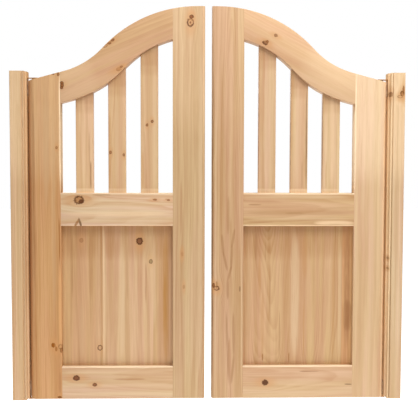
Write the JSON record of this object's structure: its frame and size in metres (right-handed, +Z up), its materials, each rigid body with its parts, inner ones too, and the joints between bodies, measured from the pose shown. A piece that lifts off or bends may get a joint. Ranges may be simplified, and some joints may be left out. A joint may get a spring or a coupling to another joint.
{
  "type": "cafe swinging doors",
  "caption": "Pair of waist-high wooden cafe doors with arched top rails, slats over flat panels, swinging both ways on sprung pivots between moulded jamb strips.",
  "frame": {"origin": "middle of the pair's width and thickness, at the height of the lower brackets' undersides, which are the lowest faces", "axes": "+X to the right as the picture shows the pair, +Y away from the viewer through the doorway, +Z up"},
  "size_m": [1.063, 0.057, 1.07],
  "materials": {
    "pine": "clear satin varnish on knotty pine",
    "slat_pine": "clear satin varnish on pine",
    "panel_pine": "clear satin varnish on pine boards",
    "jamb_pine": "clear satin varnish on pale pine",
    "zinc_plate": "zinc plated",
    "steel": "plain turned steel and spring steel",
    "brass": "turned",
    "nylon": "matt"
  },
  "bodies": {
    "jamb_strips": {"left_jamb_strip": "jamb_pine", "left_top_bracket": "zinc_plate", "left_top_pivot_pin": "steel", "left_bottom_bracket": "zinc_plate", "left_pivot_spindle": "steel", "left_thrust_washer": "nylon", "right_jamb_strip": "jamb_pine", "right_top_bracket": "zinc_plate", "right_top_pivot_pin": "steel", "right_bottom_bracket": "zinc_plate", "right_pivot_spindle": "steel", "right_thrust_washer": "nylon"},
    "left_leaf": {"left_top_bush": "brass", "left_spring_barrel": "zinc_plate", "left_torsion_spring": "steel", "left_hinge_stile": "pine", "left_meeting_stile": "pine", "left_arched_top_rail": "pine", "left_middle_rail": "pine", "left_bottom_rail": "pine", "left_slat_1": "slat_pine", "left_slat_2": "slat_pine", "left_slat_3": "slat_pine", "left_panel_board_1": "panel_pine", "left_panel_board_2": "panel_pine", "left_panel_board_3": "panel_pine"},
    "right_leaf": {"right_top_bush": "brass", "right_spring_barrel": "zinc_plate", "right_torsion_spring": "steel", "right_hinge_stile": "pine", "right_meeting_stile": "pine", "right_arched_top_rail": "pine", "right_middle_rail": "pine", "right_bottom_rail": "pine", "right_slat_1": "slat_pine", "right_slat_2": "slat_pine", "right_slat_3": "slat_pine", "right_panel_board_1": "panel_pine", "right_panel_board_2": "panel_pine", "right_panel_board_3": "panel_pine"}
  },
  "joints": [
    {"name": "left_swing", "type": "hinge", "parent": "jamb_strips", "child": "left_leaf", "pos_m": [-0.468, 0, 0], "axis": [0, 0, 1], "range_deg": [-90, 90], "stiffness_Nm_per_rad": 3, "deforming": ["left_torsion_spring"]},
    {"name": "right_swing", "type": "hinge", "parent": "jamb_strips", "child": "right_leaf", "pos_m": [0.468, 0, 0], "axis": [0, 0, 1], "range_deg": [-90, 90], "stiffness_Nm_per_rad": 3, "deforming": ["right_torsion_spring"]}
  ]
}
